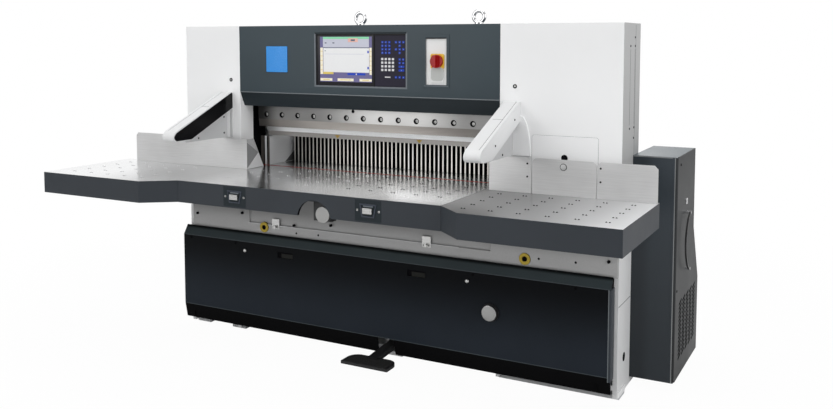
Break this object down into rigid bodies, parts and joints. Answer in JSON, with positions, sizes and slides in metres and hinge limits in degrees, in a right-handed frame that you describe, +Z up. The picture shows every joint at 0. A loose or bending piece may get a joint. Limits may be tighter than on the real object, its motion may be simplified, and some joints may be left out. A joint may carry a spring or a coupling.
{
  "type": "paper cutter",
  "caption": "Large guillotine paper cutter: knife and clamp between two columns, side tables, backgauge on a rear table, hinged lower cover, pedal and a side cabinet.",
  "frame": {"origin": "middle of the outer box, on the floor", "axes": "+X to the operator's right, +Y to the back of the machine, +Z up"},
  "size_m": [3.056, 2.581, 1.7],
  "materials": {
    "white_paint": "satin white paint",
    "dark_paint": "dark grey satin paint",
    "grey_cast": "grey painted casting",
    "table_steel": "ground and plated table surface",
    "stainless": "brushed",
    "bright_steel": "polished",
    "brass": "machined",
    "black_plastic": "matt black",
    "black_metal": "black paint",
    "screen": "glossy display glass",
    "keypad": "membrane",
    "blue_plate": "bare gloss plate",
    "pale_grey": "matt",
    "yellow": "gloss",
    "red": "gloss",
    "stick": "matt",
    "belt": "matt"
  },
  "bodies": {
    "frame": {"base_walls": "white_paint", "base_back": "white_paint", "base_decks": "white_paint", "base_floor": "white_paint", "floor_pads": "grey_cast", "bed": "grey_cast", "brass_plugs": "brass", "bed_latches": "bright_steel", "left_upright": "grey_cast", "right_upright": "grey_cast", "top_beam": "grey_cast", "left_column_cover": "white_paint", "right_column_cover": "white_paint", "hood": "dark_paint", "access_hatch": "white_paint", "eyebolts": "bright_steel", "screen_bezel": "black_plastic", "screen_glass": "screen", "keypad_panel": "keypad", "blue_plate": "blue_plate", "switch_plate": "pale_grey", "switch_collar": "yellow", "left_arm": "white_paint", "right_arm": "white_paint", "arm_windows": "black_plastic", "arm_brackets": "white_paint", "left_guide_wall": "stainless", "right_guide_wall": "stainless", "centre_table": "table_steel", "left_table": "table_steel", "right_table": "table_steel", "cutting_stick": "stick", "button_plates": "black_plastic", "handwheel_bracket": "black_metal", "rear_table": "table_steel", "rear_legs": "grey_cast", "clamp_cylinders": "dark_paint", "feed_motor": "dark_paint", "gearbox": "grey_cast", "main_motor": "dark_paint", "drive_belt": "belt", "cabinet": "dark_paint", "door_pins": "bright_steel", "cable_gland": "black_plastic"},
    "knife_carrier": {"knife_bar": "stainless", "knife": "bright_steel", "knife_bolts": "bright_steel", "pull_rod": "stainless"},
    "clamp": {"clamp_beam": "stainless", "clamp_rods": "bright_steel"},
    "gauge": {"backgauge": "stainless"},
    "spindle": {"feed_spindle": "bright_steel"},
    "hand_wheel": {"handwheel": "bright_steel"},
    "fly_wheel": {"flywheel": "grey_cast"},
    "drive_pulley": {"motor_pulley": "stainless"},
    "foot_pedal": {"pedal": "black_metal"},
    "lower_cover": {"front_cover": "dark_paint", "cover_knob": "bright_steel"},
    "side_door": {"cabinet_door": "dark_paint", "door_handle": "black_metal"},
    "main_switch": {"switch_knob": "red"},
    "button_left": {"left_cut_button": "bright_steel"},
    "button_right": {"right_cut_button": "bright_steel"}
  },
  "joints": [
    {"name": "knife_stroke", "type": "slide", "parent": "frame", "child": "knife_carrier", "axis": [-0.2465, 0, -0.9691], "range_m": [0, 0.19471]},
    {"name": "clamp_press", "type": "slide", "parent": "frame", "child": "clamp", "axis": [0, 0, -1], "range_m": [0, 0.164]},
    {"name": "backgauge_feed", "type": "slide", "parent": "frame", "child": "gauge", "axis": [0, 1, 0], "range_m": [-0.188, 1.242]},
    {"name": "spindle_turn", "type": "hinge", "parent": "frame", "child": "spindle", "pos_m": [0.03, 0.2955, 0.77], "axis": [0, 1, 0], "continuous": true},
    {"name": "handwheel_turn", "type": "hinge", "parent": "frame", "child": "hand_wheel", "pos_m": [0.0945, -1.1445, 0.781], "axis": [0, 1, 0], "continuous": true},
    {"name": "flywheel_turn", "type": "hinge", "parent": "frame", "child": "fly_wheel", "pos_m": [1.069, -0.3295, 0.238], "axis": [0, 1, 0], "continuous": true},
    {"name": "pulley_turn", "type": "hinge", "parent": "frame", "child": "drive_pulley", "pos_m": [1.069, -0.3295, 0.513], "axis": [0, 1, 0], "continuous": true},
    {"name": "pedal_press", "type": "hinge", "parent": "frame", "child": "foot_pedal", "pos_m": [0.205, -0.6845, 0.08], "axis": [1, 0, 0], "range_deg": [0, 6], "stiffness_Nm_per_rad": 60, "springref_deg": -22.92},
    {"name": "cover_swing", "type": "hinge", "parent": "frame", "child": "lower_cover", "pos_m": [0.079, -0.7565, 0.064], "axis": [1, 0, 0], "range_deg": [0, 45]},
    {"name": "door_swing", "type": "hinge", "parent": "frame", "child": "side_door", "pos_m": [1.496, -0.5115, 0.55], "axis": [0, 0, -1], "range_deg": [0, 100]},
    {"name": "switch_turn", "type": "hinge", "parent": "frame", "child": "main_switch", "pos_m": [0.4385, -0.7045, 1.4555], "axis": [0, 1, 0], "range_deg": [0, 90]},
    {"name": "left_button_press", "type": "slide", "parent": "frame", "child": "button_left", "axis": [0, 1, 0], "range_m": [0, 0.006], "stiffness_N_per_m": 900, "springref_m": -0.006},
    {"name": "right_button_press", "type": "slide", "parent": "frame", "child": "button_right", "axis": [0, 1, 0], "range_m": [0, 0.006], "stiffness_N_per_m": 900, "springref_m": -0.006}
  ],
  "couplings": [
    {"joint": "spindle_turn", "follows": "backgauge_feed", "rad_per_m": 314.16},
    {"joint": "pulley_turn", "follows": "flywheel_turn", "ratio": 2.8333}
  ]
}
